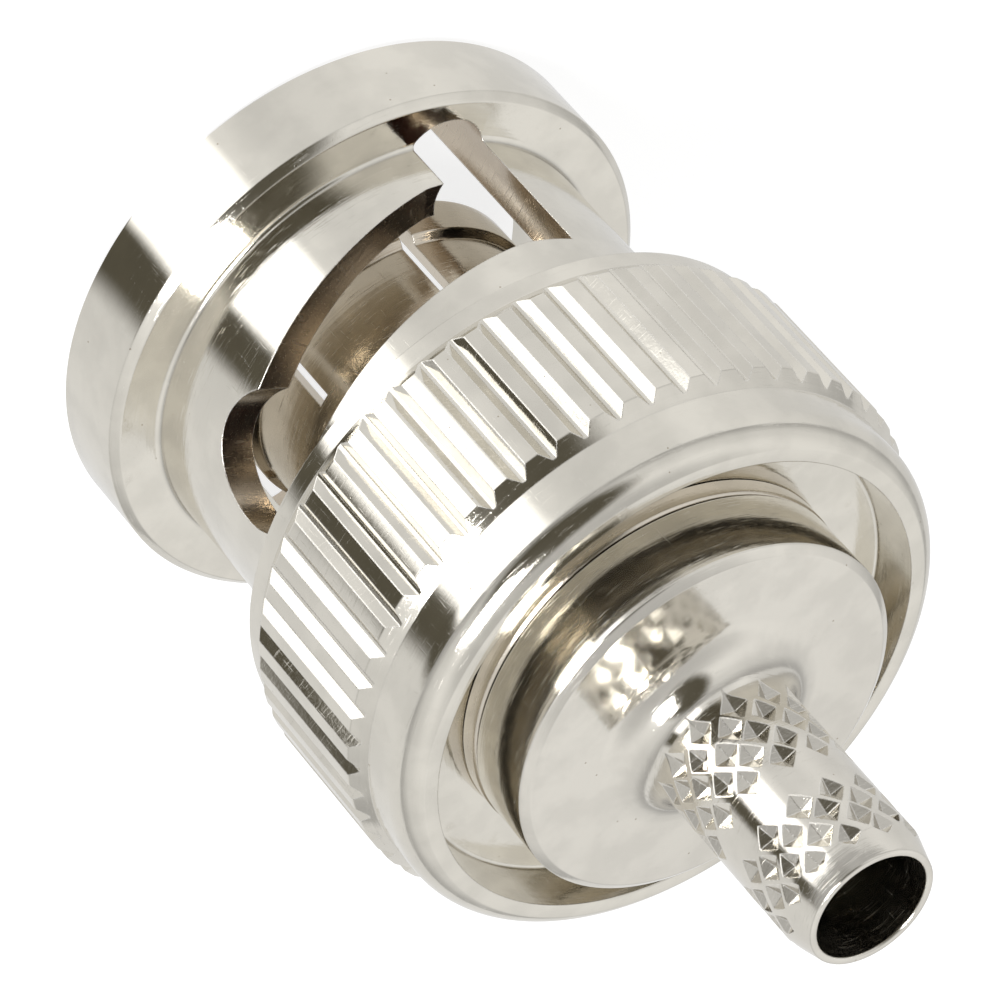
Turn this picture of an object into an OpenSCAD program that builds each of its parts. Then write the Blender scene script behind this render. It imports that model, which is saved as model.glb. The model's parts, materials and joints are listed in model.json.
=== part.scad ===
// Male BNC cable plug, crimp type, without its ferrule.
// It stands on the front rim of the coupling nut, with the crimp nipple pointing up.
// The origin is the centre of the mating face and +Z runs along the axis towards the cable.

/* [Coupling nut] */
// Radial height of the front rim over the neck
rim_step = 1.27; // [0.8:0.01:1.8]
// Length of the front rim
rim_len = 2.45; // [1.8:0.05:3]
// Chamfer on both outer edges of the rim
rim_chamfer = 0.2; // [0.05:0.05:0.4]
// Wall of the slotted neck
neck_wall = 0.9; // [0.7:0.02:1.3]
// Length of the neck, from the rim to the grip
neck_len = 6.4; // [6:0.05:7.5]
// Fillet where the neck meets the rim and the grip
neck_fillet = 0.15; // [0.05:0.05:0.3]
// Radial height of the knurled lands over the collar
grip_step = 0.33; // [0.25:0.01:0.6]
// Length of the grip, plain strip and chamfers included
grip_len = 5.18; // [4:0.02:8]
// Length of the plain strip in front of the knurl
strip_len = 0.6; // [0.3:0.05:1.2]
// Radial height of that strip over the collar
strip_step = 0.03; // [0:0.01:0.08]
// Length of the chamfer in front of the knurl
knurl_front_len = 0.2; // [0.1:0.01:0.5]
// Length of the chamfer behind the knurl
knurl_rear_len = 0.38; // [0.2:0.01:0.8]
// Wall of the smooth collar around the cup's floor
collar_wall = 0.97; // [0.85:0.01:1.5]
// Length of the smooth collar
collar_len = 1.6; // [1.5:0.02:3]
// Round on the collar's rear shoulder
collar_round = 0.85; // [0.3:0.05:0.9]
// Width of the flat rim around the cup
cup_rim_w = 0.36; // [0.2:0.02:0.5]
// Radial room between the contact land and the nut's bore, for the socket's shell
socket_room = 1.05; // [0.95:0.01:1.15]
// Lead-in chamfer at the mouth of that bore
nut_lead = 0.35; // [0.1:0.05:0.6]
// Thickness of the web that the springs push on
web_t = 1.2; // [0.8:0.05:2]
// Radial room between the rear body and the cup's wall
cup_room = 1.33; // [1:0.01:1.6]
// Depth of the cup
cup_depth = 1.27; // [0.8:0.01:1.4]
// Draft of the cup's wall, on the radius
cup_draft = 0.1; // [0:0.02:0.15]

/* [Bayonet slots] */
// Number of slots
slot_count = 2; // [1:1:2]
// Diameter of the axial groove that lets a lug in
entry_d = 2.2; // [2.05:0.05:2.3]
// Radial distance of that groove's axis from the nut's bore
entry_offset = 0.4; // [0.35:0.05:0.5]
// Direction of the first entry groove, about the axis
entry_angle = 43; // [0:1:180]
// Turn from the entry groove to the lock hole
lock_turn = 85.5; // [75:0.5:95]
// Diameter of the lock hole
lock_d = 3.36; // [2.6:0.02:3.5]
// Height of the lock hole's centre over the mating face
lock_z = 6.5; // [6.2:0.05:6.6]
// Height of the ramp's front edge at the entry
ramp_front_z = 3.9; // [3.6:0.05:4.2]
// Rise of the ramp's front edge, in mm for each degree
ramp_rise = 0.0237; // [0.015:0.0001:0.026]
// Turn over which the front edge stays level before it rises
ramp_level = 14; // [8:1:20]
// Height of the ramp's rear edge at the entry
ramp_rear_z = 6.4; // [6.1:0.05:6.6]
// Height at which the ramp's rear edge runs into the lock hole, over the hole's centre
ramp_rear_lock = 1.5; // [1.2:0.05:1.6]
// How far the entry groove runs past the ramp's rear edge
entry_runout = 0.06; // [0.02:0.01:0.2]

/* [Knurl] */
// Number of lands around the grip
knurl_count = 54; // [36:1:64]
// Depth of the grooves between the lands
knurl_depth = 0.2; // [0.12:0.01:0.24]
// Width of a groove at its mouth, as a share of the pitch
knurl_mouth = 0.58; // [0.4:0.01:0.7]
// Width of a groove at its floor, as a share of the pitch
knurl_floor = 0.1; // [0.05:0.01:0.3]

/* [Rear body] */
// Wall of the rear body around the sleeve
rear_wall = 0.65; // [0.4:0.01:1]
// Length of the rear body, from the joint line to the flange's rear face
flange_len = 2.0; // [1.9:0.02:4]
// Radial width of the chamfer on the flange's rear edge
flange_chamfer_r = 0.22; // [0.05:0.01:0.4]
// Height of that chamfer
flange_chamfer_h = 0.15; // [0.05:0.01:0.3]
// Fine chamfer on both sides of the joint line
joint_chamfer = 0.06; // [0.02:0.01:0.1]
// Thickness of the flange's end wall
flange_wall = 0.55; // [0.4:0.05:1]
// Diameter of the crimp nipple
nipple_d = 3.7; // [3.4:0.02:4.4]
// Length of the crimp nipple, from the flange's rear face
nipple_len = 6.61; // [5.5:0.01:12]
// Bore of the nipple, which takes the cable's dielectric
nipple_bore_d = 2.9; // [2.6:0.02:3.1]
// Radius of the concave flare between flange and nipple
flare_r = 1.1; // [0.3:0.05:1.4]
// Length of the taper at the nipple's tip
tip_taper_len = 0.8; // [0.3:0.05:1.2]
// Outer diameter at the tip
tip_d = 3.26; // [3.2:0.02:3.4]

/* [Retaining collar] */
// Radial width of the collar on the cup's floor
stop_w = 0.67; // [0.4:0.01:1]
// Thickness of that collar
stop_t = 0.5; // [0.3:0.02:1]

/* [Main body] */
// Wall of the sleeve that runs through the nut's web, around the contact's tail
sleeve_wall = 0.68; // [0.4:0.01:0.75]
// Radial room between the nut's bore and the flange and washers inside it
flange_room = 0.15; // [0.1:0.01:0.3]
// Thickness of that flange
body_flange_t = 0.65; // [0.4:0.05:1]
// Length of sleeve held in the rear body
sleeve_grip = 1.15; // [0.6:0.05:1.2]
// Bore that holds the rear insulator
body_rear_bore_d = 5.2; // [4.4:0.05:6]
// Depth of the front bore behind the flange's front face
body_front_bore_len = 2.65; // [1.5:0.05:3]

/* [Spring contact] */
// Diameter over the contact land at the finger tips
contact_d = 8.1; // [8:0.02:8.2]
// Length of that land
contact_land = 1.1; // [1.05:0.05:2]
// Radial height of the land over the fingers
land_step = 0.2; // [0.16:0.01:0.3]
// Wall of the fingers
finger_wall = 0.32; // [0.25:0.01:0.4]
// Step in radius from the fingers to the tail
tail_step = 0.25; // [0.1:0.01:0.3]
// Height of the finger tips over the mating face
finger_tip_z = 2.0; // [1.2:0.05:3]
// Number of slits between the fingers
slit_count = 6; // [4:1:8]
// Width of a slit
slit_w = 0.33; // [0.2:0.01:0.5]
// Direction of the first slit, about the axis
slit_angle = 57.5; // [0:0.5:90]
// Length of a slit
slit_len = 3.3; // [2.4:0.1:7]

/* [Gasket and springs] */
// Thickness of the gasket
gasket_t = 0.68; // [0.4:0.02:1]
// Radial room between the nut's bore and the gasket
gasket_room = 0.2; // [0.15:0.01:0.4]
// Thickness of one wave washer's strip
wave_t = 0.15; // [0.1:0.01:0.2]
// Height of the waves, crest to trough, without the strip
wave_h = 0.46; // [0.3:0.01:0.5]
// Number of waves around a washer
wave_count = 3; // [2:1:4]
// Thickness of the flat thrust washer
thrust_t = 0.25; // [0.15:0.01:0.4]

/* [Insulators and pin] */
// Height of the front insulator's face over the mating face
insulator_face_z = 9.3; // [8.6:0.05:9.8]
// Diameter of the centre pin
pin_d = 1.35; // [1.32:0.01:1.4]
// Radial step of the pin where it enters the front insulator
pin_step = 0.18; // [0.16:0.01:0.25]
// Height of the pin's tip over the mating face
pin_tip_z = 3.6; // [3:0.05:4.6]
// Length of the pin's rounded nose
pin_nose_len = 0.9; // [0.5:0.05:1.4]
// Diameter of the pin's barrel
barrel_d = 1.9; // [1.6:0.02:2.2]
// Length of the pin's barrel
barrel_len = 4.0; // [3:0.05:4.3]
// Hole for the cable's inner conductor
wire_hole_d = 0.98; // [0.8:0.01:1.1]
// Depth of that hole
wire_hole_len = 3.3; // [2:0.05:3.5]
// Cross hole that shows the conductor
peep_hole_d = 0.6; // [0.3:0.05:0.8]

/* [Clearances] */
// Radial running clearance between the nut's web and the sleeve
run_gap = 0.05; // [0.02:0.01:0.1]
// Radial clearance between pieces that are pressed or screwed together
seat_gap = 0.02; // [0.01:0.01:0.04]
// Axial gap between faces that bear on each other
face_gap = 0.02; // [0.01:0.01:0.05]
// Radial clearance of the loose washers on the sleeve
washer_gap = 0.1; // [0.05:0.01:0.15]

/* [Hidden] */
$fn = 96;

// Stations along the axis, from the mating face upwards
grip_z = rim_len + neck_len;
knurl_z = grip_z + strip_len + knurl_front_len;
grip_end_z = grip_z + grip_len;
nut_end_z = grip_end_z + collar_len;
cup_floor_z = nut_end_z - cup_depth;
web_z = cup_floor_z - web_t;
thrust_z = web_z - face_gap - thrust_t;
wave_pack = wave_h + 2 * wave_t + face_gap;
wave_z = thrust_z - face_gap - wave_pack;
body_z = wave_z - face_gap - body_flange_t;
gasket_z = body_z - face_gap - gasket_t;
stop_z = cup_floor_z + face_gap;
joint_z = stop_z + stop_t + face_gap;
flange_z = joint_z + flange_len;
nipple_end_z = flange_z + nipple_len;
cavity_end_z = flange_z - flange_wall;
tail_end_z = body_z + body_front_bore_len - face_gap;
rear_bore_z = body_z + body_front_bore_len;
sleeve_end_z = joint_z + sleeve_grip;
rear_insulator_z = rear_bore_z + face_gap;
rear_insulator_end_z = cavity_end_z - face_gap;
barrel_end_z = rear_insulator_end_z - face_gap;
barrel_z = barrel_end_z - barrel_len;

// Radii, from the spring contact outwards
land_r = contact_d / 2;
finger_r = land_r - land_step;
finger_bore_r = finger_r - finger_wall;
tail_r = finger_r - tail_step;
tail_bore_r = tail_r - finger_wall;
insulator_r = tail_bore_r - seat_gap;
body_front_bore_r = tail_r + seat_gap;
sleeve_r = body_front_bore_r + sleeve_wall;
nut_bore_r = land_r + socket_room;
body_flange_r = nut_bore_r - flange_room;
lug_r = nut_bore_r + entry_offset;
neck_r = nut_bore_r + neck_wall;
rim_r = neck_r + rim_step;
seat_r = sleeve_r + seat_gap;
stop_r = seat_r + stop_w;
flange_r = seat_r + rear_wall;
cup_floor_r = flange_r + cup_room;
collar_r = cup_floor_r + collar_wall;
grip_r = collar_r + grip_step;
strip_r = collar_r + strip_step;
pin_r = pin_d / 2;
pin_shaft_r = pin_r + pin_step;
pitch_angle = 360 / knurl_count;
overcut = 0.5;

// Points of an arc in the (radius, height) plane
function arc(r, z, round_r, from, to, steps) = [
    for (i = [0 : steps])
        let (a = from + (to - from) * i / steps)
            [r + round_r * cos(a), z + round_r * sin(a)]
];

// A plain ring about the axis
module ring(outer_r, inner_r, z, height) {
    translate([0, 0, z])
        difference() {
            cylinder(r = outer_r, h = height);
            translate([0, 0, -overcut])
                cylinder(r = inner_r, h = height + 2 * overcut);
        }
}

// ---------------------------------------------------------------- coupling nut

// Section of the nut as it is turned, before its slots and knurl are cut
module nut_section() {
    polygon(concat(
        [[nut_bore_r + nut_lead, 0], [rim_r - rim_chamfer, 0], [rim_r, rim_chamfer]],
        [[rim_r, rim_len - rim_chamfer], [rim_r - rim_chamfer, rim_len]],
        arc(neck_r + neck_fillet, rim_len + neck_fillet, neck_fillet, 270, 180, 5),
        arc(neck_r + neck_fillet, grip_z - neck_fillet, neck_fillet, 180, 90, 5),
        [[strip_r, grip_z], [strip_r, knurl_z - knurl_front_len], [grip_r, knurl_z]],
        [[grip_r, grip_end_z - knurl_rear_len], [collar_r, grip_end_z]],
        arc(collar_r - collar_round, nut_end_z - collar_round, collar_round, 0, 72, 9),
        [[cup_floor_r + cup_draft + cup_rim_w, nut_end_z], [cup_floor_r + cup_draft, nut_end_z]],
        [[cup_floor_r, cup_floor_z], [sleeve_r + run_gap, cup_floor_z]],
        [[sleeve_r + run_gap, web_z], [nut_bore_r, web_z], [nut_bore_r, nut_lead]]
    ));
}

// Front and rear edge of the bayonet ramp, as heights over the turn from the entry groove
function ramp_front(turn) = ramp_front_z + ramp_rise * max(0, turn - ramp_level);
function ramp_rear(turn) = ramp_rear_z + (lock_z + ramp_rear_lock - ramp_rear_z) * turn / lock_turn;

// Cutter for one helical ramp: a rectangle in the (radius, height) plane, swept with the turn
module ramp_cutter() {
    steps = 38;
    inner_r = nut_bore_r - overcut;
    outer_r = neck_r + overcut;
    turns = [for (i = [0 : steps]) lock_turn * i / steps];
    points = [
        for (t = turns)
            for (corner = [[inner_r, ramp_front(t)], [outer_r, ramp_front(t)],
                           [outer_r, ramp_rear(t)], [inner_r, ramp_rear(t)]])
                [corner[0] * cos(t), corner[0] * sin(t), corner[1]]
    ];
    sides = [
        for (i = [0 : steps - 1])
            for (k = [0 : 3])
                for (f = [[0, 1, 5], [0, 5, 4]])
                    [for (v = f) 4 * i + (v > 3 ? 4 : 0) + (k + v % 4) % 4]
    ];
    last = 4 * steps;
    polyhedron(points, concat([[0, 3, 2], [0, 2, 1]], [for (s = sides) [s[0], s[2], s[1]]],
                              [[last, last + 1, last + 2], [last, last + 2, last + 3]]));
}

// One bayonet slot: axial entry groove, ramp and lock hole
module bayonet_slot() {
    translate([lug_r, 0, -overcut])
        cylinder(d = entry_d, h = ramp_rear_z + entry_runout + overcut);
    ramp_cutter();
    rotate([0, 0, lock_turn])
        translate([nut_bore_r - overcut, 0, lock_z])
            rotate([0, 90, 0])
                cylinder(d = lock_d, h = neck_wall + 2 * overcut);
}

// One knurl groove, a trapezoid that runs out through the chamfers at both ends of the knurl
module knurl_groove() {
    pitch = 2 * grip_r * sin(pitch_angle / 2);
    mouth = pitch * knurl_mouth;
    floor_w = pitch * knurl_floor;
    slope = (mouth - floor_w) / knurl_depth;
    translate([0, 0, knurl_z - knurl_front_len])
        linear_extrude(grip_end_z - knurl_z + knurl_front_len)
            polygon([
                [grip_r - knurl_depth, -floor_w / 2],
                [grip_r + overcut, -mouth / 2 - slope * overcut / 2],
                [grip_r + overcut, mouth / 2 + slope * overcut / 2],
                [grip_r - knurl_depth, floor_w / 2]
            ]);
}

module coupling_nut() {
    color("lightgray")
        difference() {
            rotate_extrude($fn = 180)
                nut_section();
            for (i = [0 : slot_count - 1])
                rotate([0, 0, entry_angle + i * 360 / slot_count])
                    bayonet_slot();
            for (i = [0 : knurl_count - 1])
                rotate([0, 0, i * pitch_angle])
                    knurl_groove();
        }
}

// ---------------------------------------------------------------- body

// Flanged sleeve that runs through the nut's web
module main_body() {
    color("silver")
        difference() {
            union() {
                translate([0, 0, body_z])
                    cylinder(r = body_flange_r, h = body_flange_t);
                translate([0, 0, body_z])
                    cylinder(r = sleeve_r, h = sleeve_end_z - body_z);
            }
            translate([0, 0, body_z - overcut])
                cylinder(r = body_front_bore_r, h = body_front_bore_len + overcut);
            translate([0, 0, body_z])
                cylinder(d = body_rear_bore_d, h = sleeve_end_z - body_z + overcut);
        }
}

// Collar on the sleeve that keeps the nut from sliding off rearwards
module retaining_collar() {
    color("silver")
        translate([0, 0, stop_z])
            rotate_extrude()
                polygon([
                    [seat_r, 0], [stop_r, 0], [stop_r, stop_t - joint_chamfer],
                    [stop_r - joint_chamfer, stop_t], [seat_r, stop_t]
                ]);
}

// Section of the rear body: flange, concave flare and crimp nipple, with the bore through them
module rear_body_section() {
    nipple_r = nipple_d / 2;
    bore_r = nipple_bore_d / 2;
    polygon(concat(
        [[seat_r, joint_z], [flange_r - joint_chamfer, joint_z], [flange_r, joint_z + joint_chamfer]],
        [[flange_r, flange_z - flange_chamfer_h], [flange_r - flange_chamfer_r, flange_z]],
        arc(nipple_r + flare_r, flange_z + flare_r, flare_r, 270, 180, 12),
        [[nipple_r, nipple_end_z - tip_taper_len], [tip_d / 2, nipple_end_z], [bore_r, nipple_end_z]],
        [[bore_r, cavity_end_z], [body_rear_bore_d / 2, cavity_end_z]],
        [[body_rear_bore_d / 2, sleeve_end_z + face_gap], [seat_r, sleeve_end_z + face_gap]]
    ));
}

module rear_body() {
    color("gainsboro")
        rotate_extrude($fn = 144)
            rear_body_section();
}

// ---------------------------------------------------------------- contacts

// Slotted outer contact, with a tail that is pressed into the main body
module spring_contact() {
    seat_z = body_z - face_gap;
    color("silver")
        difference() {
            rotate_extrude()
                polygon([
                    [finger_bore_r, finger_tip_z], [land_r - 0.15, finger_tip_z], [land_r, finger_tip_z + 0.15],
                    [land_r, finger_tip_z + 0.15 + contact_land], [finger_r, finger_tip_z + 0.3 + contact_land],
                    [finger_r, seat_z], [tail_r, seat_z], [tail_r, tail_end_z], [tail_bore_r, tail_end_z],
                    [tail_bore_r, seat_z - finger_wall], [finger_bore_r, seat_z - finger_wall]
                ]);
            for (i = [0 : slit_count - 1])
                rotate([0, 0, slit_angle + i * 360 / slit_count])
                    translate([0, -slit_w / 2, finger_tip_z - overcut])
                        cube([land_r + overcut, slit_w, slit_len + overcut]);
        }
}

// Male pin: rounded nose, shaft and a barrel with the conductor's hole and its inspection hole
module centre_pin() {
    nose_steps = 6;
    nose = [
        for (i = [0 : nose_steps])
            let (a = 90 * i / nose_steps)
                [pin_r * sin(a), pin_tip_z + pin_nose_len * (1 - cos(a))]
    ];
    color("goldenrod")
        difference() {
            rotate_extrude()
                polygon(concat(nose, [
                    [pin_r, insulator_face_z], [pin_shaft_r, insulator_face_z],
                    [pin_shaft_r, barrel_z], [barrel_d / 2, barrel_z], [barrel_d / 2, barrel_end_z], [0, barrel_end_z]
                ]));
            translate([0, 0, barrel_end_z - wire_hole_len])
                cylinder(d = wire_hole_d, h = wire_hole_len + overcut);
            translate([0, 0, barrel_end_z - wire_hole_len + peep_hole_d])
                rotate([0, 90, 0])
                    cylinder(d = peep_hole_d, h = barrel_d);
        }
}

// ---------------------------------------------------------------- insulators, gasket and springs

// Bead that fills the spring contact and carries the pin's shaft
module front_insulator() {
    color("white")
        difference() {
            translate([0, 0, insulator_face_z])
                cylinder(r = insulator_r, h = tail_end_z - insulator_face_z);
            translate([0, 0, insulator_face_z - overcut])
                cylinder(r = pin_shaft_r + seat_gap, h = tail_end_z - insulator_face_z + 2 * overcut);
            translate([0, 0, barrel_z - face_gap])
                cylinder(d = barrel_d + 2 * seat_gap, h = tail_end_z - barrel_z + overcut);
        }
}

// Bush behind it that holds the barrel
module rear_insulator() {
    color("white")
        ring(body_rear_bore_d / 2 - seat_gap, barrel_d / 2 + seat_gap, rear_insulator_z,
             rear_insulator_end_z - rear_insulator_z);
}

module gasket() {
    color("dimgray")
        ring(nut_bore_r - gasket_room, finger_r + washer_gap, gasket_z, gasket_t);
}

module thrust_washer() {
    color("silver")
        ring(body_flange_r, sleeve_r + run_gap, thrust_z, thrust_t);
}

// A flat strip bent into waves, swept round the axis from its four corners
module wave_washer(z) {
    steps = 72;
    inner_r = sleeve_r + washer_gap;
    points = [
        for (i = [0 : steps - 1])
            for (corner = [[inner_r, 0], [body_flange_r, 0], [body_flange_r, wave_t], [inner_r, wave_t]])
                let (a = 360 * i / steps)
                    [corner[0] * cos(a), corner[0] * sin(a), corner[1] + wave_h / 2 * (1 + cos(wave_count * a))]
    ];
    sides = [
        for (i = [0 : steps - 1])
            for (k = [0 : 3])
                for (f = [[0, 5, 1], [0, 4, 5]])
                    [for (v = f) 4 * ((i + (v > 3 ? 1 : 0)) % steps) + (k + v % 4) % 4]
    ];
    translate([0, 0, z])
        polyhedron(points, sides);
}

module wave_washer_front() {
    color("darkgray")
        wave_washer(wave_z);
}

module wave_washer_rear() {
    color("darkgray")
        wave_washer(wave_z + wave_t + face_gap);
}

coupling_nut();
main_body();
spring_contact();
gasket();
wave_washer_front();
wave_washer_rear();
thrust_washer();
retaining_collar();
rear_body();
front_insulator();
rear_insulator();
centre_pin();
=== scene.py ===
"""Looks of the crimp plug: camera, studio, fine turned pieces and the finish of every piece."""
import json
import math

import bmesh
import bpy
from mathutils import Matrix, Vector


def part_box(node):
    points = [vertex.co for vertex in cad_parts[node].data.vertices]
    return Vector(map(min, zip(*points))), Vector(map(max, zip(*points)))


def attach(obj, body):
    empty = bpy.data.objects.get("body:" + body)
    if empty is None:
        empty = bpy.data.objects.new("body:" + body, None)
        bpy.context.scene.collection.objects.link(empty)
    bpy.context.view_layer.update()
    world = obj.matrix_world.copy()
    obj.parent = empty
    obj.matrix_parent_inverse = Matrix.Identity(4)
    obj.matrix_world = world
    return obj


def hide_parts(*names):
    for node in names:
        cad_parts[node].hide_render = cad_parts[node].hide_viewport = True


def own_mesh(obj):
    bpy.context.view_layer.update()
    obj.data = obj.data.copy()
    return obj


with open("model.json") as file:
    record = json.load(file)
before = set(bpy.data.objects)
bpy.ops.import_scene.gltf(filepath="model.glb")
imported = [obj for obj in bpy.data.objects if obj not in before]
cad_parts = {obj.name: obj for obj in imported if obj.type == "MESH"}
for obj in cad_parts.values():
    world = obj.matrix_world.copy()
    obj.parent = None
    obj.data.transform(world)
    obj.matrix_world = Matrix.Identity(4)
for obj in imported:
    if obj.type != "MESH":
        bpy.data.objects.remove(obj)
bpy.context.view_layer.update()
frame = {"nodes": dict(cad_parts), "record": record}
MM = 0.001
FACE_GAP = 0.02                   # millimetres between faces that bear on each other


# ---------------------------------------------------------------- sizes, in millimetres
def span(node):
    """Lowest and highest corner of a CAD node."""
    low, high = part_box(node)
    return Vector(low) / MM, Vector(high) / MM


def mount_radius(name):
    """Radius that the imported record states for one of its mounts."""
    for mount in frame["record"]["mounts"]:
        if mount["name"] == name:
            return mount["dims"]["r_mm"]
    raise KeyError(name)


nut_high = span("coupling_nut")[1]
rear_low, rear_high = span("rear_body")
stop_low, stop_high = span("retaining_collar")
contact_low, contact_high = span("spring_contact")
main_low, main_high = span("main_body")

NUT_END = nut_high.z
GRIP_R = nut_high.y               # a land of the knurl lies on the Y axis
GRIP_Z = 8.85                     # front edge of the grip
GRIP_END = 14.03
COLLAR_R = GRIP_R - 0.33
STRIP_R = COLLAR_R + 0.06          # plain strip in front of the knurl
RIM_R = COLLAR_R
RIM_LEN = 2.45
RIM_CHAMFER = 0.2
NECK_R = 6.0
NECK_FILLET = 0.15
NUT_BORE_R = 5.1
NUT_LEAD = 0.35                   # chamfer at the mouth of the bore
WEB_R = 4.35                      # bore of the web that turns on the sleeve
WEB_Z = 13.16
CUP_FLOOR = NUT_END - 1.27
CUP_FLOOR_R = 6.3
CUP_DRAFT = 0.1
CUP_RIM_R = CUP_FLOOR_R + CUP_DRAFT + 0.36
SHOULDER = 0.85                   # round behind the collar

KNURL_COUNT = 54
KNURL_DEPTH = 0.2
KNURL_MOUTH = 0.58                # width at the mouth, as a share of the pitch
KNURL_FLOOR = 0.1
KNURL_FRONT = 9.35                # where the strip ends and the knurl begins to rise
KNURL_FRONT_LEN = 0.4
KNURL_REAR_LEN = 0.38

ENTRY_ANGLE = 43.0
ENTRY_R = 1.1
ENTRY_AXIS_R = NUT_BORE_R + 0.4
ENTRY_RUNOUT = 0.06               # how far the entry groove runs past the ramp
LOCK_TURN = 85.5
LOCK_R = 1.68
LOCK_Z = 6.5
RAMP_FRONT = 3.9
RAMP_RISE = 0.0237                # for each degree after the level stretch
RAMP_LEVEL = 14.0
RAMP_REAR = 6.4
RAMP_REAR_LOCK = LOCK_Z + 1.5

FLANGE_R = rear_high.x
FLANGE_LEN = 2.0
FLANGE_WALL = 0.55
FLANGE_Z = rear_low.z + FLANGE_LEN
FLANGE_CHAMFER = (0.22, 0.15)     # radial width and height
NIPPLE_END = rear_high.z
NIPPLE_R = mount_radius("crimp_nipple")
NIPPLE_BORE_R = mount_radius("nipple_bore")
FLARE_R = 1.1
TIP_R = 1.63
TIP_TAPER = 0.8
JOINT_CHAMFER = 0.06              # on both sides of the joint line
REAR_SEAT_R = 4.32
REAR_BORE_R = 2.6
CAVITY_END = FLANGE_Z - FLANGE_WALL
SLEEVE_END = main_high.z + FACE_GAP

DENT_COUNT = 12
DENT_R = 0.41                     # half its width, corner to corner
DENT_DEPTH = 0.2
DENT_PITCH = 0.46
DENT_ANGLE = 8.0
DENT_ROWS_ROOT = 5
DENT_ROWS_TIP = 4
DENT_ROOT_Z = FLANGE_Z + FLARE_R + 0.2
DENT_TIP_Z = NIPPLE_END - 0.7

LAND_R = mount_radius("contact_land")
FINGER_R = LAND_R - 0.2
FINGER_WALL = 0.32
FINGER_BORE_R = FINGER_R - FINGER_WALL
TAIL_R = FINGER_R - 0.25
TAIL_BORE_R = TAIL_R - FINGER_WALL
LAND_LEN = 1.1
SLIT_COUNT = 6
SLIT_W = 0.33
SLIT_ANGLE = 57.5
SLIT_LEN = 3.3
OVERCUT = 0.5                     # how far a cutter reaches past what it cuts
NUT_STEPS = 540                   # faces round each turned piece
REAR_STEPS = 360
RING_STEPS = 288

WELD = 1e-7                       # metres, under which two points are one


# ---------------------------------------------------------------- outlines
def arc(r, z, radius, start, end, steps):
    """Points of an arc in the (radius, height) plane; angles in degrees."""
    turns = [math.radians(start + (end - start) * i / steps) for i in range(steps + 1)]
    return [(r + radius * math.cos(turn), z + radius * math.sin(turn)) for turn in turns]


def rounded(corners, steps=5):
    """Closed outline from (radius, height, round) corners; a round of 0 keeps its corner sharp."""
    outline = []
    for i, (r, z, radius) in enumerate(corners):
        corner = Vector((r, z))
        before = Vector(corners[i - 1][:2]) - corner
        after = Vector(corners[(i + 1) % len(corners)][:2]) - corner
        if radius == 0:
            outline.append((r, z))
            continue
        half = before.angle(after) / 2
        reach = min(radius / math.tan(half), 0.45 * before.length, 0.45 * after.length)
        radius = reach * math.tan(half)
        centre = corner + (before.normalized() + after.normalized()).normalized() * radius / math.sin(half)
        first = corner + before.normalized() * reach - centre
        last = corner + after.normalized() * reach - centre
        turn = -first.angle_signed(last)
        start = math.atan2(first.y, first.x)
        for k in range(steps + 1):
            angle = start + turn * k / steps
            outline.append((centre.x + radius * math.cos(angle), centre.y + radius * math.sin(angle)))
    return outline


# ---------------------------------------------------------------- meshes
def new_object(name, mesh):
    """A linked object for a mesh."""
    made = bpy.data.objects.new(name, mesh)
    bpy.context.scene.collection.objects.link(made)
    return made


def solid(name, points, faces):
    """A closed mesh from points in millimetres, its normals outward."""
    mesh = bpy.data.meshes.new(name)
    mesh.from_pydata([Vector(point) * MM for point in points], [], faces)
    shape = bmesh.new()
    shape.from_mesh(mesh)
    bmesh.ops.recalc_face_normals(shape, faces=shape.faces)
    shape.to_mesh(mesh)
    shape.free()
    return new_object(name, mesh)


def turned(name, outline, steps):
    """A solid of revolution from a closed (radius, height) outline."""
    count = len(outline)
    points, faces = [], []
    for i in range(steps):
        turn = 2 * math.pi * i / steps
        points += [(r * math.cos(turn), r * math.sin(turn), z) for r, z in outline]
        here, there = i * count, (i + 1) % steps * count
        for k in range(count):
            n = (k + 1) % count
            faces.append((here + k, there + k, there + n, here + n))
    return solid(name, points, faces)


def prism(name, outline, low, high):
    """A prism along Z over a closed (x, y) outline."""
    count = len(outline)
    points = [(x, y, low) for x, y in outline] + [(x, y, high) for x, y in outline]
    faces = [tuple(range(count)), tuple(range(2 * count - 1, count - 1, -1))]
    faces += [(k, (k + 1) % count, (k + 1) % count + count, k + count) for k in range(count)]
    return solid(name, points, faces)


def circle(x, y, radius, steps):
    """Points of a circle in a plane."""
    turns = [2 * math.pi * i / steps for i in range(steps)]
    return [(x + radius * math.cos(turn), y + radius * math.sin(turn)) for turn in turns]


def reshape(piece, matrix):
    """Moves a piece inside its mesh, so its object stays at the origin."""
    piece.data.transform(matrix)
    return piece


def spin(degrees):
    """A turn about the plug's axis."""
    return Matrix.Rotation(math.radians(degrees), 4, "Z")


def bake(piece):
    """Turns a piece's modifiers into plain mesh."""
    view = bpy.context.evaluated_depsgraph_get()
    mesh = bpy.data.meshes.new_from_object(piece.evaluated_get(view))
    piece.modifiers.clear()
    piece.data = mesh
    return piece


def cut(piece, cutters):
    """Takes cutters out of a piece; each cut face keeps its cutter's finish."""
    for cutter in cutters:
        step = piece.modifiers.new(cutter.name, "BOOLEAN")
        step.operation = "DIFFERENCE"
        step.solver = "MANIFOLD"
        step.material_mode = "TRANSFER"
        step.object = cutter
    bake(piece)
    for cutter in cutters:
        bpy.data.objects.remove(cutter)
    return piece


def smooth(piece, angle=28):
    """Smooth faces with crisp edges, and normals that keep the large faces true."""
    mesh = piece.data
    mesh.shade_smooth()
    mesh.set_sharp_from_angle(angle=math.radians(angle))
    weigh = piece.modifiers.new("weigh", "WEIGHTED_NORMAL")
    weigh.keep_sharp = True
    weigh.weight = 90
    return bake(piece)


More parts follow.
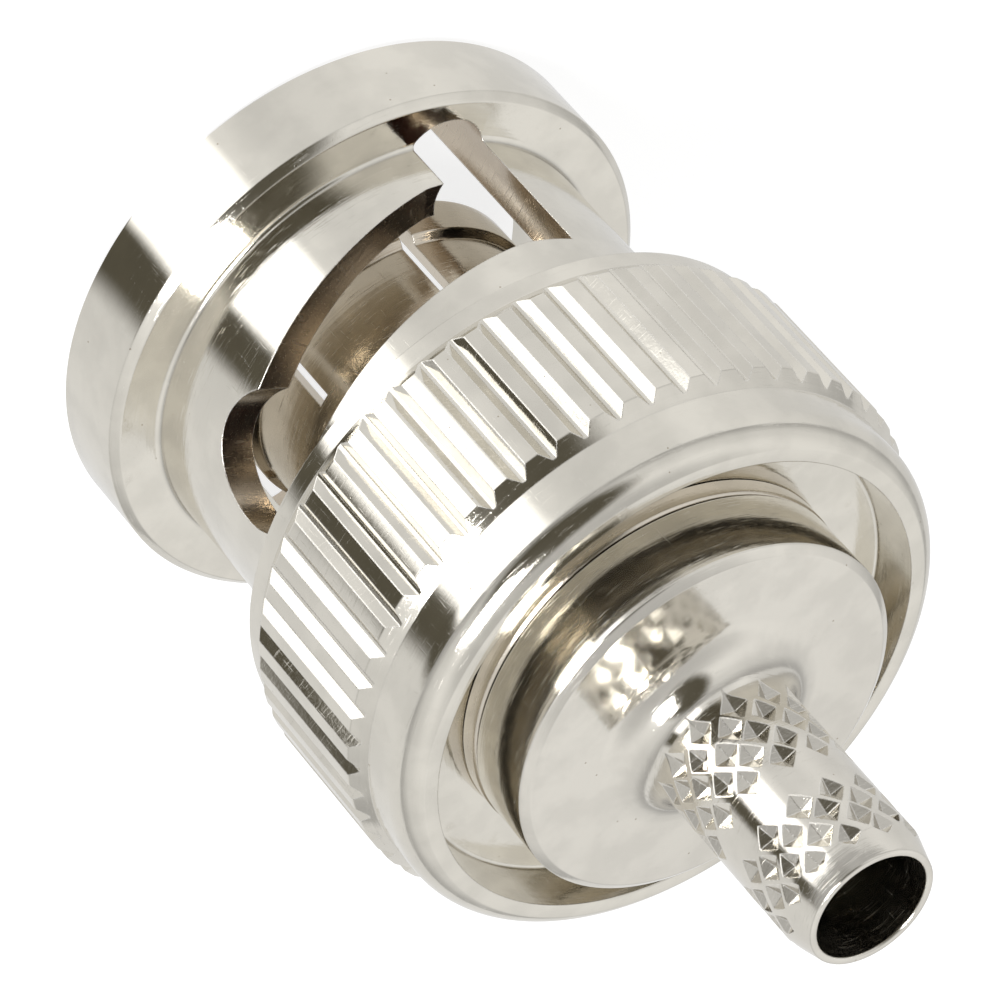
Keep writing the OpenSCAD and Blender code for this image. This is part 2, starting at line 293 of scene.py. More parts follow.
# ---------------------------------------------------------------- pattern of cuts round the axis
def field(nodes, links, operation, *sources):
    """A Math node in a geometry tree, fed by sockets or numbers."""
    node = nodes.new("ShaderNodeMath")
    node.operation = operation
    for place, source in enumerate(sources):
        if isinstance(source, bpy.types.NodeSocket):
            links.new(source, node.inputs[place])
        else:
            node.inputs[place].default_value = source
    return node.outputs[0]


RING_INPUTS = [("Blank", "NodeSocketGeometry"), ("Cutter", "NodeSocketObject"),
               ("Count", "NodeSocketInt"), ("Rows", "NodeSocketInt"),
               ("Row pitch", "NodeSocketFloat"), ("First angle", "NodeSocketFloat"),
               ("Slack angle", "NodeSocketFloat"), ("Slack size", "NodeSocketFloat"),
               ("Seed", "NodeSocketInt"), ("Finish", "NodeSocketMaterial")]


def ring_of_cuts_tree():
    """A node tree that repeats a cutter in rows round the axis, each row half a step on, and cuts a blank."""
    tree = bpy.data.node_groups.new("ring_of_cuts", "GeometryNodeTree")
    for name, kind in RING_INPUTS:
        tree.interface.new_socket(name, in_out="INPUT", socket_type=kind)
    tree.interface.new_socket("Geometry", in_out="OUTPUT", socket_type="NodeSocketGeometry")
    nodes, links = tree.nodes, tree.links
    given = nodes.new("NodeGroupInput").outputs
    total = field(nodes, links, "MULTIPLY", given["Count"], given["Rows"])
    index = nodes.new("GeometryNodeInputIndex").outputs[0]
    share = field(nodes, links, "DIVIDE", index, given["Count"])
    row = field(nodes, links, "FLOOR", field(nodes, links, "ADD", share, 0.0001))
    step = field(nodes, links, "DIVIDE", 2 * math.pi, given["Count"])
    odd = field(nodes, links, "MODULO", row, 2.0)
    place = field(nodes, links, "ADD", index, field(nodes, links, "MULTIPLY", odd, 0.5))
    turn = field(nodes, links, "ADD", field(nodes, links, "MULTIPLY", place, step), given["First angle"])
    slack = nodes.new("FunctionNodeRandomValue")
    links.new(field(nodes, links, "MULTIPLY", given["Slack angle"], -1.0), slack.inputs[2])
    links.new(given["Slack angle"], slack.inputs[3])
    links.new(given["Seed"], slack.inputs["Seed"])
    turn = field(nodes, links, "ADD", turn, slack.outputs[1])
    size = nodes.new("FunctionNodeRandomValue")
    links.new(field(nodes, links, "SUBTRACT", 1.0, given["Slack size"]), size.inputs[2])
    links.new(field(nodes, links, "ADD", 1.0, given["Slack size"]), size.inputs[3])
    links.new(field(nodes, links, "ADD", given["Seed"], 1.0), size.inputs["Seed"])
    height = field(nodes, links, "MULTIPLY", row, given["Row pitch"])
    lift = nodes.new("ShaderNodeCombineXYZ")
    links.new(height, lift.inputs[2])
    turns = nodes.new("ShaderNodeCombineXYZ")
    links.new(turn, turns.inputs[2])
    sizes = nodes.new("ShaderNodeCombineXYZ")
    sizes.inputs[0].default_value = 1.0
    links.new(size.outputs[1], sizes.inputs[1])
    sizes.inputs[2].default_value = 1.0
    points = nodes.new("GeometryNodePoints")
    links.new(total, points.inputs["Count"])
    links.new(lift.outputs[0], points.inputs["Position"])
    cutter = nodes.new("GeometryNodeObjectInfo")
    links.new(given["Cutter"], cutter.inputs["Object"])
    copies = nodes.new("GeometryNodeInstanceOnPoints")
    links.new(points.outputs[0], copies.inputs["Points"])
    links.new(cutter.outputs["Geometry"], copies.inputs["Instance"])
    links.new(turns.outputs[0], copies.inputs["Rotation"])
    links.new(sizes.outputs[0], copies.inputs["Scale"])
    minus = nodes.new("GeometryNodeMeshBoolean")
    minus.operation = "DIFFERENCE"
    minus.solver = "MANIFOLD"
    links.new(given["Blank"], minus.inputs[0])
    links.new(copies.outputs[0], minus.inputs[1])
    real = nodes.new("GeometryNodeRealizeInstances")
    links.new(minus.outputs[0], real.inputs[0])
    finish = nodes.new("GeometryNodeSetMaterial")
    links.new(real.outputs[0], finish.inputs["Geometry"])
    links.new(given["Finish"], finish.inputs["Material"])
    links.new(finish.outputs[0], nodes.new("NodeGroupOutput").inputs[0])
    return tree


def ring_of_cuts(piece, tree, cutter, finish, count, rows=1, row_pitch=0.0, first_angle=0.0,
                 slack_angle=0.0, slack_size=0.0, seed=1):
    """Cuts a pattern of pockets round a piece; lengths in millimetres, angles in degrees."""
    values = {"Cutter": cutter, "Count": count, "Rows": rows, "Row pitch": row_pitch * MM,
              "First angle": math.radians(first_angle), "Slack angle": math.radians(slack_angle),
              "Slack size": slack_size, "Seed": seed, "Finish": finish}
    step = piece.modifiers.new("ring_of_cuts", "NODES")
    step.node_group = tree
    for item in tree.interface.items_tree:
        if item.in_out == "INPUT" and item.name in values:
            step[item.identifier] = values[item.name]
    return bake(piece)


# ---------------------------------------------------------------- node helpers
def new_tree(material):
    """Empties a material's node tree and gives its nodes and links."""
    material.use_nodes = True
    material.node_tree.nodes.clear()
    return material.node_tree.nodes, material.node_tree.links


def add(nodes, kind, **values):
    """Adds a node and sets its named properties."""
    node = nodes.new(kind)
    for name, value in values.items():
        setattr(node, name, value)
    return node


def ramp_node(nodes, links, source, stops, ease="EASE"):
    """A colour ramp with (place, colour) stops."""
    node = nodes.new("ShaderNodeValToRGB")
    ramp = node.color_ramp
    ramp.interpolation = ease
    while len(ramp.elements) < len(stops):
        ramp.elements.new(0.5)
    for element, (place, colour) in zip(ramp.elements, stops):
        element.position = place
        element.color = (*colour, 1)
    links.new(source, node.inputs[0])
    return node.outputs[0]


def grey(level):
    """A neutral colour."""
    return (level, level, level)


def step_node(nodes, links, source, low, high, bottom=0.0, top=1.0):
    """Eases from bottom to top as the source goes from low to high."""
    node = add(nodes, "ShaderNodeMapRange", interpolation_type="SMOOTHSTEP")
    links.new(source, node.inputs["Value"])
    node.inputs["From Min"].default_value = low
    node.inputs["From Max"].default_value = high
    node.inputs["To Min"].default_value = bottom
    node.inputs["To Max"].default_value = top
    return node.outputs[0]


def noise_node(nodes, links, vector, scale, detail=4.0, roughness=0.55):
    """A noise over a vector in millimetres."""
    node = nodes.new("ShaderNodeTexNoise")
    links.new(vector, node.inputs["Vector"])
    node.inputs["Scale"].default_value = scale
    node.inputs["Detail"].default_value = detail
    node.inputs["Roughness"].default_value = roughness
    return node.outputs[0]


# ---------------------------------------------------------------- studio
VIEW_SIDE = (0.0, 0.8002, 0.5997)  # from the plug towards the camera


def set_camera():
    """The long lens that looks down on the crimp end."""
    camera_data = bpy.data.cameras.new("camera")
    camera_data.lens = 257.0
    camera_data.sensor_width = 36.0
    camera_data.clip_start = 0.01
    camera_data.clip_end = 5.0
    camera = new_object("camera", camera_data)
    right = Vector((0.7513, -0.3957, 0.5281))
    up = Vector((0.6599, 0.4506, -0.6012))
    back = Vector(VIEW_SIDE)
    place = Vector((-0.24, 133.38, 108.24)) * MM
    camera.matrix_world = Matrix.Translation(place) @ Matrix((right, up, back)).transposed().to_4x4()
    bpy.context.scene.camera = camera
    bpy.context.scene.view_settings.view_transform = "Standard"


GLOW_CENTRE = (0.0, 4.0)          # mm, where the floor's bands of light meet
DARK = (0.11, 0.10, 0.075)
GLOW_TOP = 2.4                    # the brightest band
# bearing in degrees about that centre, and the light there
GLOW_BANDS = [(-180, grey(0.85)), (-90, grey(0.85)), (-60, grey(0.75)), (-20, grey(0.80)), (20, grey(0.95)),
              (45, grey(0.85)), (66, grey(0.80)), (84, grey(0.95)),
              (92, grey(GLOW_TOP)), (126, grey(GLOW_TOP)), (134, DARK),
              (147, DARK), (158, grey(0.8)), (180, grey(0.85))]


def band_light(nodes, links, across, along):
    """Light that changes with the bearing, as between soft boxes and dark gaps."""
    bearing = field(nodes, links, "ARCTAN2", along, across)
    share = field(nodes, links, "MULTIPLY_ADD", bearing, 0.5 / math.pi, 0.5)
    stops = [((angle + 180) / 360, tuple(level / GLOW_TOP for level in colour))
             for angle, colour in GLOW_BANDS]
    return ramp_node(nodes, links, share, stops)


def floor_material():
    """White to the eye, with soft bands of light for the metal to show, and the shadow kept."""
    material = bpy.data.materials.new("studio_floor")
    nodes, links = new_tree(material)
    place = add(nodes, "ShaderNodeTexCoord")
    axes = add(nodes, "ShaderNodeSeparateXYZ")
    links.new(place.outputs["Object"], axes.inputs[0])
    across = field(nodes, links, "SUBTRACT", axes.outputs[0], GLOW_CENTRE[0] * MM)
    along = field(nodes, links, "SUBTRACT", axes.outputs[1], GLOW_CENTRE[1] * MM)
    bands = band_light(nodes, links, across, along)
    path = add(nodes, "ShaderNodeLightPath")
    matt = add(nodes, "ShaderNodeBsdfDiffuse")
    matt.inputs["Color"].default_value = (0.3, 0.3, 0.3, 1)
    white = add(nodes, "ShaderNodeEmission")
    white.inputs["Strength"].default_value = 0.82
    glow = add(nodes, "ShaderNodeEmission")
    glow.inputs["Strength"].default_value = GLOW_TOP
    links.new(bands, glow.inputs["Color"])
    seen = add(nodes, "ShaderNodeAddShader")
    links.new(matt.outputs[0], seen.inputs[0])
    links.new(white.outputs[0], seen.inputs[1])
    by_eye = add(nodes, "ShaderNodeMixShader")
    links.new(path.outputs["Is Camera Ray"], by_eye.inputs[0])
    links.new(matt.outputs[0], by_eye.inputs[1])
    links.new(seen.outputs[0], by_eye.inputs[2])
    by_gloss = add(nodes, "ShaderNodeMixShader")
    links.new(path.outputs["Is Glossy Ray"], by_gloss.inputs[0])
    links.new(by_eye.outputs[0], by_gloss.inputs[1])
    links.new(glow.outputs[0], by_gloss.inputs[2])
    output = add(nodes, "ShaderNodeOutputMaterial")
    links.new(by_gloss.outputs[0], output.inputs["Surface"])
    return material


def set_floor():
    """A plain floor that the plug stands on."""
    half = 1.0
    mesh = bpy.data.meshes.new("floor")
    corners = [(-half, -half, 0), (half, -half, 0), (half, half, 0), (-half, half, 0)]
    mesh.from_pydata(corners, [], [(0, 1, 2, 3)])
    floor = new_object("floor", mesh)
    mesh.materials.append(floor_material())


def set_world():
    """A soft white tent above the floor, and an unlit room on the view side for the metal to show."""
    world = bpy.data.worlds.new("tent")
    bpy.context.scene.world = world
    world.use_nodes = True
    nodes, links = world.node_tree.nodes, world.node_tree.links
    nodes.clear()
    place = add(nodes, "ShaderNodeTexCoord")
    axes = add(nodes, "ShaderNodeSeparateXYZ")
    links.new(place.outputs["Generated"], axes.inputs[0])
    tent = ramp_node(nodes, links, axes.outputs[2],
                     [(0.0, grey(0.5)), (0.35, grey(0.8)), (0.7, grey(0.95)), (1.0, grey(0.6))])
    toward = add(nodes, "ShaderNodeVectorMath", operation="DOT_PRODUCT")
    links.new(place.outputs["Generated"], toward.inputs[0])
    toward.inputs[1].default_value = VIEW_SIDE
    dim = add(nodes, "ShaderNodeMix", data_type="RGBA")
    links.new(step_node(nodes, links, toward.outputs["Value"], 0.80, 0.93), dim.inputs["Factor"])
    links.new(tent, dim.inputs["A"])
    dim.inputs["B"].default_value = (*DARK, 1)
    tent_light = add(nodes, "ShaderNodeBackground")
    links.new(dim.outputs["Result"], tent_light.inputs["Color"])
    white = add(nodes, "ShaderNodeBackground")
    path = add(nodes, "ShaderNodeLightPath")
    mix = add(nodes, "ShaderNodeMixShader")
    links.new(path.outputs["Is Camera Ray"], mix.inputs[0])
    links.new(tent_light.outputs[0], mix.inputs[1])
    links.new(white.outputs[0], mix.inputs[2])
    output = add(nodes, "ShaderNodeOutputWorld")
    links.new(mix.outputs[0], output.inputs["Surface"])


def add_lamp(name, place, target, side, power):
    """A square soft box that faces its target; sizes in millimetres."""
    lamp_data = bpy.data.lights.new(name, "AREA")
    lamp_data.size = side * MM
    lamp_data.energy = power
    lamp = new_object(name, lamp_data)
    lamp.location = Vector(place) * MM
    aim = (Vector(target) - Vector(place)).normalized()
    lamp.rotation_mode = "QUATERNION"
    lamp.rotation_quaternion = aim.to_track_quat("-Z", "Y")


# ---------------------------------------------------------------- finishes
def millimetres(nodes, links):
    """The point on the piece, with its radius and height, in millimetres."""
    place = add(nodes, "ShaderNodeTexCoord")
    scaled = add(nodes, "ShaderNodeVectorMath", operation="SCALE")
    links.new(place.outputs["Object"], scaled.inputs[0])
    scaled.inputs["Scale"].default_value = 1 / MM
    axes = add(nodes, "ShaderNodeSeparateXYZ")
    links.new(scaled.outputs[0], axes.inputs[0])
    flat = add(nodes, "ShaderNodeCombineXYZ")
    links.new(axes.outputs[0], flat.inputs[0])
    links.new(axes.outputs[1], flat.inputs[1])
    length = add(nodes, "ShaderNodeVectorMath", operation="LENGTH")
    links.new(flat.outputs[0], length.inputs[0])
    return scaled.outputs[0], length.outputs["Value"], axes.outputs[2]


def stretched(nodes, links, point, across, along):
    """The point with its X and Y scaled by across and its Z by along."""
    node = add(nodes, "ShaderNodeVectorMath", operation="MULTIPLY")
    links.new(point, node.inputs[0])
    node.inputs[1].default_value = (across, across, along)
    return node.outputs[0]


EDGE_ROUND = 0.045                # round of every edge in the metal's shading, in millimetres
RELIEF = 0.006                    # depth of its tool marks and scratches


def plated(name, colour, roughness, marks=1.0, wear_and_edge_highlight=1.0, stain=(0.30, 0.24, 0.16)):
    """Bright plate on turned brass: tool marks round the axis, fine scratches, specks, and edges that wear
    makes rougher and that are painted lighter as a painted edge highlight.
    """
    material = bpy.data.materials.new(name)
    nodes, links = new_tree(material)
    point, radius, height = millimetres(nodes, links)
    rings = add(nodes, "ShaderNodeCombineXYZ")
    links.new(radius, rings.inputs[0])
    links.new(height, rings.inputs[1])
    ring_marks = noise_node(nodes, links, rings.outputs[0], 9.0, 3.0, 0.6)
    swell = noise_node(nodes, links, point, 0.9, 3.0, 0.5)
    grain = noise_node(nodes, links, point, 14.0, 5.0, 0.7)
    scuffs = noise_node(nodes, links, stretched(nodes, links, point, 1.6, 26.0), 1.0, 3.0, 0.5)
    scuff_mask = step_node(nodes, links, scuffs, 0.60, 0.70)
    streaks = noise_node(nodes, links, stretched(nodes, links, point, 24.0, 1.4), 1.0, 3.0, 0.5)
    streak_mask = step_node(nodes, links, streaks, 0.64, 0.74)
    spots = add(nodes, "ShaderNodeTexVoronoi")
    links.new(point, spots.inputs["Vector"])
    spots.inputs["Scale"].default_value = 3.0
    spot_mask = step_node(nodes, links, spots.outputs["Distance"], 0.04, 0.10, 1.0, 0.0)
    chance = add(nodes, "ShaderNodeSeparateColor")
    links.new(spots.outputs["Color"], chance.inputs[0])
    chosen = step_node(nodes, links, chance.outputs[0], 0.86, 0.88)
    spot_mask = field(nodes, links, "MULTIPLY", spot_mask, chosen)

    edge_normal = add(nodes, "ShaderNodeBevel", samples=4)
    edge_normal.inputs["Radius"].default_value = EDGE_ROUND * MM
    facing = add(nodes, "ShaderNodeNewGeometry")
    agree = add(nodes, "ShaderNodeVectorMath", operation="DOT_PRODUCT")
    links.new(edge_normal.outputs[0], agree.inputs[0])
    links.new(facing.outputs["Normal"], agree.inputs[1])
    edge = step_node(nodes, links, agree.outputs["Value"], 0.90, 0.995, 1.0, 0.0)
    # Along the edges wear makes the plate rougher, and the colour is painted near-white as a painted
    # highlight, broken up by the grain.
    worn_edge_highlight = field(nodes, links, "MULTIPLY", edge, step_node(nodes, links, grain, 0.40, 0.60, 0.25, 1.0))
    worn_edge_highlight = field(nodes, links, "MULTIPLY", worn_edge_highlight, wear_and_edge_highlight)

    tone = add(nodes, "ShaderNodeMix", data_type="RGBA")
    links.new(step_node(nodes, links, swell, 0.35, 0.65), tone.inputs["Factor"])
    tone.inputs["A"].default_value = (*[level * 0.96 for level in colour], 1)
    tone.inputs["B"].default_value = (*[min(1.0, level * 1.04) for level in colour], 1)
    speckled = add(nodes, "ShaderNodeMix", data_type="RGBA")
    links.new(field(nodes, links, "MULTIPLY", spot_mask, 0.6), speckled.inputs["Factor"])
    links.new(tone.outputs["Result"], speckled.inputs["A"])
    speckled.inputs["B"].default_value = (*stain, 1)
    # Painted edge highlight: the edges are mixed towards a near-white colour.
    edge_highlight_tone = add(nodes, "ShaderNodeMix", data_type="RGBA")
    links.new(worn_edge_highlight, edge_highlight_tone.inputs["Factor"])
    links.new(speckled.outputs["Result"], edge_highlight_tone.inputs["A"])
    edge_highlight_tone.inputs["B"].default_value = (0.93, 0.91, 0.87, 1)

    rough = field(nodes, links, "MULTIPLY_ADD", ring_marks, 0.08 * marks, roughness - 0.04 * marks)
    rough = field(nodes, links, "MULTIPLY_ADD", scuff_mask, 0.14, rough)
    rough = field(nodes, links, "MULTIPLY_ADD", streak_mask, 0.12, rough)
    rough = field(nodes, links, "MULTIPLY_ADD", worn_edge_highlight, 0.22, rough)

    relief = field(nodes, links, "MULTIPLY", ring_marks, 0.35 * marks)
    relief = field(nodes, links, "MULTIPLY_ADD", swell, 0.4, relief)
    relief = field(nodes, links, "MULTIPLY_ADD", grain, 0.10, relief)
    relief = field(nodes, links, "MULTIPLY_ADD", scuff_mask, -0.10, relief)
    relief = field(nodes, links, "MULTIPLY_ADD", streak_mask, -0.08, relief)
    relief = field(nodes, links, "MULTIPLY_ADD", spot_mask, -0.3, relief)
    bump = add(nodes, "ShaderNodeBump")
    bump.inputs["Strength"].default_value = 1.0
    bump.inputs["Distance"].default_value = RELIEF * MM
    links.new(relief, bump.inputs["Height"])
    links.new(edge_normal.outputs[0], bump.inputs["Normal"])

    surface = add(nodes, "ShaderNodeBsdfPrincipled")
    links.new(edge_highlight_tone.outputs["Result"], surface.inputs["Base Color"])
    surface.inputs["Metallic"].default_value = 1.0
    links.new(rough, surface.inputs["Roughness"])
    links.new(bump.outputs[0], surface.inputs["Normal"])
    output = add(nodes, "ShaderNodeOutputMaterial")
    links.new(surface.outputs[0], output.inputs["Surface"])
    return material


def moulded(name, colour, roughness, grain_size, grain_depth, sheen=0.0, spread=0.06):
    """A plastic or rubber with fine grain and soft changes of tone."""
    material = bpy.data.materials.new(name)
    nodes, links = new_tree(material)
    point, radius, height = millimetres(nodes, links)
    swell = noise_node(nodes, links, point, 0.8, 3.0)
    grain = noise_node(nodes, links, point, grain_size, 4.0, 0.6)
    rings = add(nodes, "ShaderNodeCombineXYZ")
    links.new(radius, rings.inputs[0])
    links.new(height, rings.inputs[1])
    ring_marks = noise_node(nodes, links, rings.outputs[0], 12.0, 3.0, 0.6)
    tone = add(nodes, "ShaderNodeMix", data_type="RGBA")
    links.new(swell, tone.inputs["Factor"])
    tone.inputs["A"].default_value = (*[max(0.0, level - spread) for level in colour], 1)
    tone.inputs["B"].default_value = (*[min(1.0, level + spread) for level in colour], 1)
    relief = field(nodes, links, "MULTIPLY_ADD", ring_marks, 0.6, grain)
    bump = add(nodes, "ShaderNodeBump")
    bump.inputs["Strength"].default_value = 1.0
    bump.inputs["Distance"].default_value = grain_depth * MM
    links.new(relief, bump.inputs["Height"])
    surface = add(nodes, "ShaderNodeBsdfPrincipled")
    links.new(tone.outputs["Result"], surface.inputs["Base Color"])
    links.new(field(nodes, links, "MULTIPLY_ADD", grain, 0.15, roughness - 0.07), surface.inputs["Roughness"])
    surface.inputs["Sheen Weight"].default_value = sheen
    links.new(bump.outputs[0], surface.inputs["Normal"])
    output = add(nodes, "ShaderNodeOutputMaterial")
    links.new(surface.outputs[0], output.inputs["Surface"])
    return material


# ---------------------------------------------------------------- coupling nut
def nut_outline():
    """The nut as it is turned, with its edges broken."""
    fine, crisp = 0.06, 0.03
    front = [(NUT_BORE_R, WEB_Z, 0.08), (NUT_BORE_R, NUT_LEAD, crisp), (NUT_BORE_R + NUT_LEAD, 0, crisp),
             (RIM_R - RIM_CHAMFER, 0, fine), (RIM_R, RIM_CHAMFER, fine),
             (RIM_R, RIM_LEN - RIM_CHAMFER, fine), (RIM_R - RIM_CHAMFER, RIM_LEN, fine),
             (NECK_R, RIM_LEN, NECK_FILLET), (NECK_R, GRIP_Z, NECK_FILLET),
             (STRIP_R, GRIP_Z, crisp), (STRIP_R, KNURL_FRONT, 0.08),
             (GRIP_R, KNURL_FRONT + KNURL_FRONT_LEN, 0.08),
             (GRIP_R, GRIP_END - KNURL_REAR_LEN, 0.1), (COLLAR_R, GRIP_END, crisp)]
    turn = math.degrees(math.acos((CUP_RIM_R - COLLAR_R + SHOULDER) / SHOULDER))
    shoulder_z = NUT_END - SHOULDER * math.sin(math.radians(turn))
    middle = arc(COLLAR_R - SHOULDER, shoulder_z, SHOULDER, 0, turn, 16)
    shoulder = [(r, z, 0) for r, z in middle[:-1]] + [(*middle[-1], crisp)]
    cup = [(CUP_FLOOR_R + CUP_DRAFT, NUT_END, crisp), (CUP_FLOOR_R, CUP_FLOOR, 0.1),
           (WEB_R, CUP_FLOOR, crisp), (WEB_R, WEB_Z, crisp)]
    return rounded(front + shoulder + cup)


def knurl_cutter():
    """One V groove, with a narrow floor."""
    pitch = 2 * GRIP_R * math.sin(math.pi / KNURL_COUNT)
    mouth, floor = pitch * KNURL_MOUTH / 2, pitch * KNURL_FLOOR / 2
    reach = floor + (mouth - floor) * (KNURL_DEPTH + OVERCUT) / KNURL_DEPTH
    outline = [(GRIP_R - KNURL_DEPTH, -floor), (GRIP_R + OVERCUT, -reach),
               (GRIP_R + OVERCUT, reach), (GRIP_R - KNURL_DEPTH, floor)]
    return prism("knurl_cutter", outline, KNURL_FRONT - 0.05, GRIP_END)


def ramp_cutter():
    """The helical ramp: a rectangle in the (radius, height) plane, swept with the turn."""
    steps = 114
    inner, outer = NUT_BORE_R - OVERCUT, NECK_R + OVERCUT
    points, faces = [], []
    for i in range(steps + 1):
        turn = LOCK_TURN * i / steps
        front = RAMP_FRONT + RAMP_RISE * max(0.0, turn - RAMP_LEVEL)
        rear = RAMP_REAR + (RAMP_REAR_LOCK - RAMP_REAR) * i / steps
        side = (math.cos(math.radians(turn)), math.sin(math.radians(turn)))
        points += [(r * side[0], r * side[1], z)
                   for r, z in ((inner, front), (outer, front), (outer, rear), (inner, rear))]
        if i:
            a, b = 4 * (i - 1), 4 * i
            faces += [(a + k, a + (k + 1) % 4, b + (k + 1) % 4, b + k) for k in range(4)]
    faces += [(0, 1, 2, 3), (4 * steps + 3, 4 * steps + 2, 4 * steps + 1, 4 * steps)]
    return solid("ramp_cutter", points, faces)


def slot_cutters(angle, finish):
    """Entry groove, ramp and lock hole of one bayonet slot."""
    entry = prism("entry_cutter", circle(ENTRY_AXIS_R, 0, ENTRY_R, 96), -OVERCUT,
                  RAMP_REAR + ENTRY_RUNOUT)
    ramp = ramp_cutter()
    lock = prism("lock_cutter", circle(0, 0, LOCK_R, 128), NUT_BORE_R - OVERCUT, NECK_R + OVERCUT)
    lock_height = Matrix.Translation((0, 0, LOCK_Z * MM))
    reshape(lock, spin(LOCK_TURN) @ lock_height @ Matrix.Rotation(math.pi / 2, 4, "Y"))
    for cutter in (entry, ramp, lock):
        reshape(cutter, spin(angle))
        cutter.data.materials.append(finish)
    return [entry, ramp, lock]


def make_nut(tree, finish, shaded_slot_finish):
    """Coupling nut: turned blank, knurl grooves, then the two bayonet slots."""
    nut = turned("nut_fine", nut_outline(), NUT_STEPS)
    cutter = knurl_cutter()
    ring_of_cuts(nut, tree, cutter, finish, KNURL_COUNT, slack_angle=0.12, slack_size=0.03, seed=7)
    bpy.data.objects.remove(cutter)
    cut(nut, slot_cutters(ENTRY_ANGLE, shaded_slot_finish) + slot_cutters(ENTRY_ANGLE + 180, shaded_slot_finish))
    smooth(nut)
    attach(nut, "nut")
    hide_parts("coupling_nut")


# ---------------------------------------------------------------- rear body, collar and contact
def rear_outline():
    """Flange, concave flare and crimp nipple, with the bore through them."""
    low = rear_low.z
    wide, tall = FLANGE_CHAMFER
    fine, crisp = 0.05, 0.03
    flare = arc(NIPPLE_R + FLARE_R, FLANGE_Z + FLARE_R, FLARE_R, 270, 180, 20)
    corners = [(REAR_SEAT_R, low, 0),
               (FLANGE_R - JOINT_CHAMFER, low, crisp), (FLANGE_R, low + JOINT_CHAMFER, crisp),
               (FLANGE_R, FLANGE_Z - tall, fine), (FLANGE_R - wide, FLANGE_Z, fine)]
    corners += [(r, z, 0) for r, z in flare]
    corners += [(NIPPLE_R, NIPPLE_END - TIP_TAPER, 0.3),
                (TIP_R, NIPPLE_END, fine), (NIPPLE_BORE_R, NIPPLE_END, fine),
                (NIPPLE_BORE_R, CAVITY_END, crisp), (REAR_BORE_R, CAVITY_END, 0),
                (REAR_BORE_R, SLEEVE_END, 0), (REAR_SEAT_R, SLEEVE_END, 0)]
    return rounded(corners)


def dent_cutter():
    """One dent: an inverted four-sided pyramid with its corners along and across the axis."""
    over = 0.1
    reach = DENT_R * (DENT_DEPTH + over) / DENT_DEPTH
    r = NIPPLE_R + over
    points = [(NIPPLE_R - DENT_DEPTH, 0, 0), (r, 0, -reach), (r, reach, 0), (r, 0, reach), (r, -reach, 0)]
    return solid("dent_cutter", points, [(0, 1, 2), (0, 2, 3), (0, 3, 4), (0, 4, 1), (4, 3, 2, 1)])


def make_rear_body(tree, finish):
    """Rear body with the two dented bands of its nipple."""
    rear = turned("rear_fine", rear_outline(), REAR_STEPS)
    for rows, start, pitch, seed in ((DENT_ROWS_ROOT, DENT_ROOT_Z, DENT_PITCH, 3),
                                     (DENT_ROWS_TIP, DENT_TIP_Z, -DENT_PITCH, 5)):
        cutter = reshape(dent_cutter(), Matrix.Translation((0, 0, start * MM)))
        ring_of_cuts(rear, tree, cutter, finish, DENT_COUNT, rows, pitch, DENT_ANGLE, 2.0, 0.1, seed)
        bpy.data.objects.remove(cutter)
    smooth(rear)
    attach(rear, "plug")
    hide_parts("rear_body")


def make_collar(finish):
    """Retaining collar that lies between the cup's floor and the joint line."""
    inner, outer = REAR_SEAT_R, stop_high.x
    low, high = stop_low.z, stop_high.z
    corners = [(inner, low, 0), (outer, low, 0.03), (outer, high - JOINT_CHAMFER, 0.03),
               (outer - JOINT_CHAMFER, high, 0.03), (inner, high, 0)]
    collar = turned("collar_fine", rounded(corners), RING_STEPS)
    collar.data.materials.append(finish)
    smooth(collar)
    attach(collar, "plug")
    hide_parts("retaining_collar")


def make_contact(finish):
    """Slotted spring contact with its land, fingers and tail."""
    tip, seat, end = contact_low.z, main_low.z - FACE_GAP, contact_high.z
    land_end = tip + 0.15 + LAND_LEN
    crisp = 0.03
    corners = [(FINGER_BORE_R, tip, crisp), (LAND_R - 0.15, tip, 0.05), (LAND_R, tip + 0.15, 0.08),
               (LAND_R, land_end, 0.08), (FINGER_R, land_end + 0.15, 0.08), (FINGER_R, seat, crisp),
               (TAIL_R, seat, crisp), (TAIL_R, end, crisp), (TAIL_BORE_R, end, crisp),
               (TAIL_BORE_R, seat - FINGER_WALL, crisp), (FINGER_BORE_R, seat - FINGER_WALL, crisp)]
    contact = turned("contact_fine", rounded(corners), RING_STEPS)
    contact.data.materials.append(finish)
    half = SLIT_W / 2
    slits = []
    for i in range(SLIT_COUNT):
        box = prism("slit_cutter", [(FINGER_BORE_R - OVERCUT, -half), (LAND_R + OVERCUT, -half),
                                    (LAND_R + OVERCUT, half), (FINGER_BORE_R - OVERCUT, half)],
                    tip - OVERCUT, tip + SLIT_LEN)
        box.data.materials.append(finish)
        slits.append(reshape(box, spin(SLIT_ANGLE + i * 360 / SLIT_COUNT)))
    cut(contact, slits)
    smooth(contact)
    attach(contact, "plug")
    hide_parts("spring_contact")


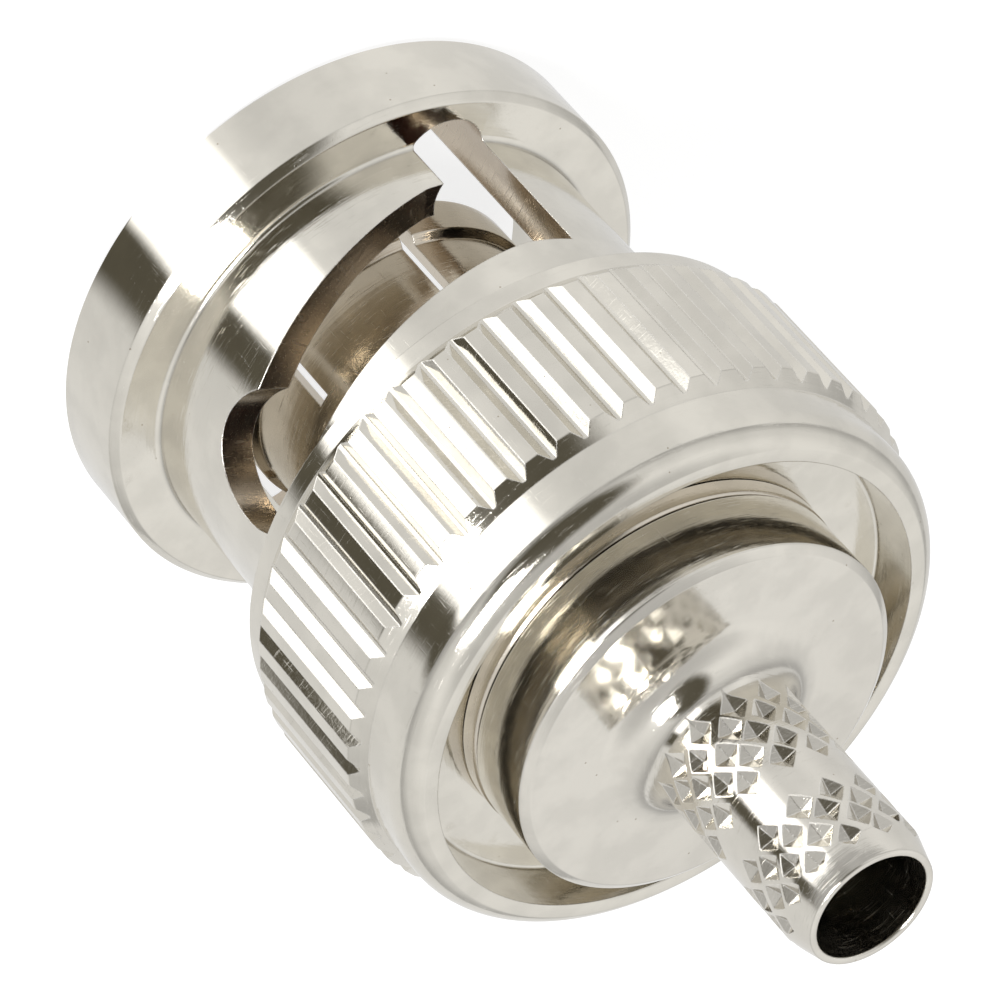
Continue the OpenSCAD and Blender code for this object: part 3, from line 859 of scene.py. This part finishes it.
def make_wave_washer(node, finish):
    """A wave washer: the imported mesh, welded, with its finish and smooth shading."""
    washer = new_object(node + "_fine", frame["nodes"][node].data.copy())
    shape = bmesh.new()
    shape.from_mesh(washer.data)
    bmesh.ops.remove_doubles(shape, verts=shape.verts, dist=WELD)
    bmesh.ops.recalc_face_normals(shape, faces=shape.faces)
    shape.to_mesh(washer.data)
    shape.free()
    washer.data.materials.clear()
    washer.data.materials.append(finish)
    smooth(washer)
    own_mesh(washer)
    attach(washer, "plug")
    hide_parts(node)


def paint(node, material):
    """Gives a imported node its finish."""
    slots = frame["nodes"][node].data.materials
    slots.clear()
    slots.append(material)


NICKEL = (0.73, 0.70, 0.63)

set_camera()
set_floor()
set_world()
add_lamp("key_lamp", (-60, 90, 120), (0, 0, 10), 60, 0.25)

nut_finish = plated("nickel_nut", NICKEL, 0.10)
# The slot walls are painted darker and browner than the rest of the nut, as painted shade in the slot's
# recess; their rougher milled finish is real.
shaded_slot_finish = plated("nickel_slot_wall_painted_shade", (0.56, 0.49, 0.40), 0.24, marks=1.6, wear_and_edge_highlight=1.3)
rear_finish = plated("nickel_rear", (0.735, 0.705, 0.64), 0.10)
body_finish = plated("nickel_body", (0.66, 0.61, 0.53), 0.14)
contact_finish = plated("nickel_contact", (0.62, 0.56, 0.47), 0.16, marks=1.4)
spring_finish = plated("spring_steel", (0.52, 0.52, 0.51), 0.26, marks=0.6, wear_and_edge_highlight=0.6, stain=(0.2, 0.15, 0.1))
pin_finish = plated("gold_pin", (0.86, 0.64, 0.28), 0.16, marks=0.8, wear_and_edge_highlight=0.3, stain=(0.4, 0.25, 0.1))
ptfe_finish = moulded("ptfe", (0.86, 0.86, 0.83), 0.42, 9.0, 0.004, spread=0.03)
silicone_finish = moulded("silicone", (0.32, 0.10, 0.07), 0.62, 22.0, 0.006, sheen=0.1, spread=0.03)

pattern = ring_of_cuts_tree()
make_nut(pattern, nut_finish, shaded_slot_finish)
make_rear_body(pattern, rear_finish)
make_collar(body_finish)
make_contact(contact_finish)
paint("main_body", body_finish)
paint("thrust_washer", body_finish)
paint("gasket", silicone_finish)
make_wave_washer("wave_washer_front", spring_finish)
make_wave_washer("wave_washer_rear", spring_finish)
paint("front_insulator", ptfe_finish)
paint("rear_insulator", ptfe_finish)
paint("centre_pin", pin_finish)
